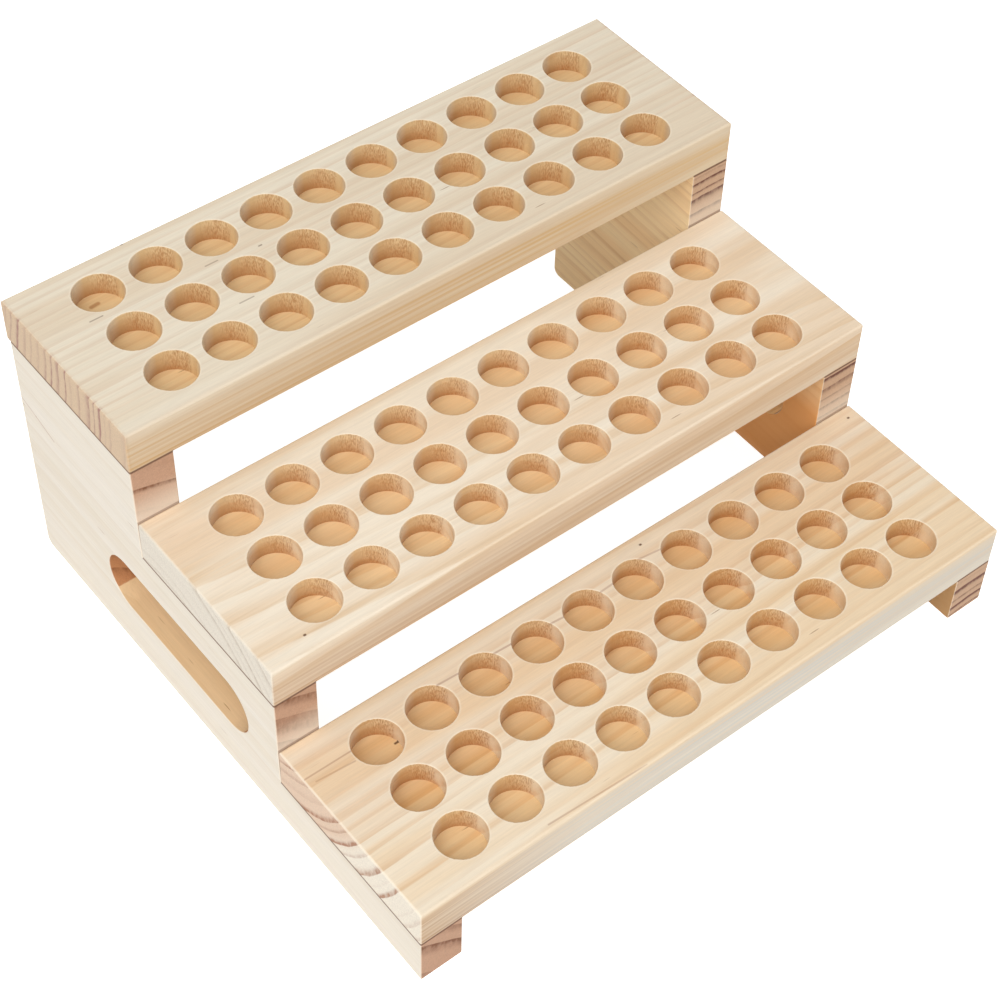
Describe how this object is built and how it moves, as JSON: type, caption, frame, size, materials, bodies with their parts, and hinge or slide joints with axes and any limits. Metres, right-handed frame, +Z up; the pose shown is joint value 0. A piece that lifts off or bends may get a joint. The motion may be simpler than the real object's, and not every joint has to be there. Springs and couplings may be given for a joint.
{
  "type": "paint rack organizer",
  "caption": "Stepped bench-top rack of solid pine boards with blind round holes that hold model paint bottles upright, on two slotted side panels.",
  "frame": {"origin": "on the ground under the middle of the rack's bounding box", "axes": "+X runs along the shelf boards to the viewer's right, +Y from the lowest step towards the highest, +Z up"},
  "size_m": [0.3734, 0.3356, 0.1775],
  "materials": {
    "pine_lower": "matt, unfinished",
    "pine_middle": "matt, unfinished",
    "pine_upper": "matt, unfinished",
    "pine_panel": "matt, unfinished",
    "beech_dowel": "matt, fluted"
  },
  "bodies": {
    "root": {"lower_shelf": "pine_lower", "middle_shelf": "pine_middle", "upper_shelf": "pine_upper", "left_side_panel": "pine_panel", "right_side_panel": "pine_panel", "lower_left_front_dowel": "beech_dowel", "lower_left_back_dowel": "beech_dowel", "lower_right_front_dowel": "beech_dowel", "lower_right_back_dowel": "beech_dowel", "middle_left_front_dowel": "beech_dowel", "middle_left_back_dowel": "beech_dowel", "middle_right_front_dowel": "beech_dowel", "middle_right_back_dowel": "beech_dowel", "upper_left_front_dowel": "beech_dowel", "upper_left_back_dowel": "beech_dowel", "upper_right_front_dowel": "beech_dowel", "upper_right_back_dowel": "beech_dowel"}
  },
  "joints": []
}
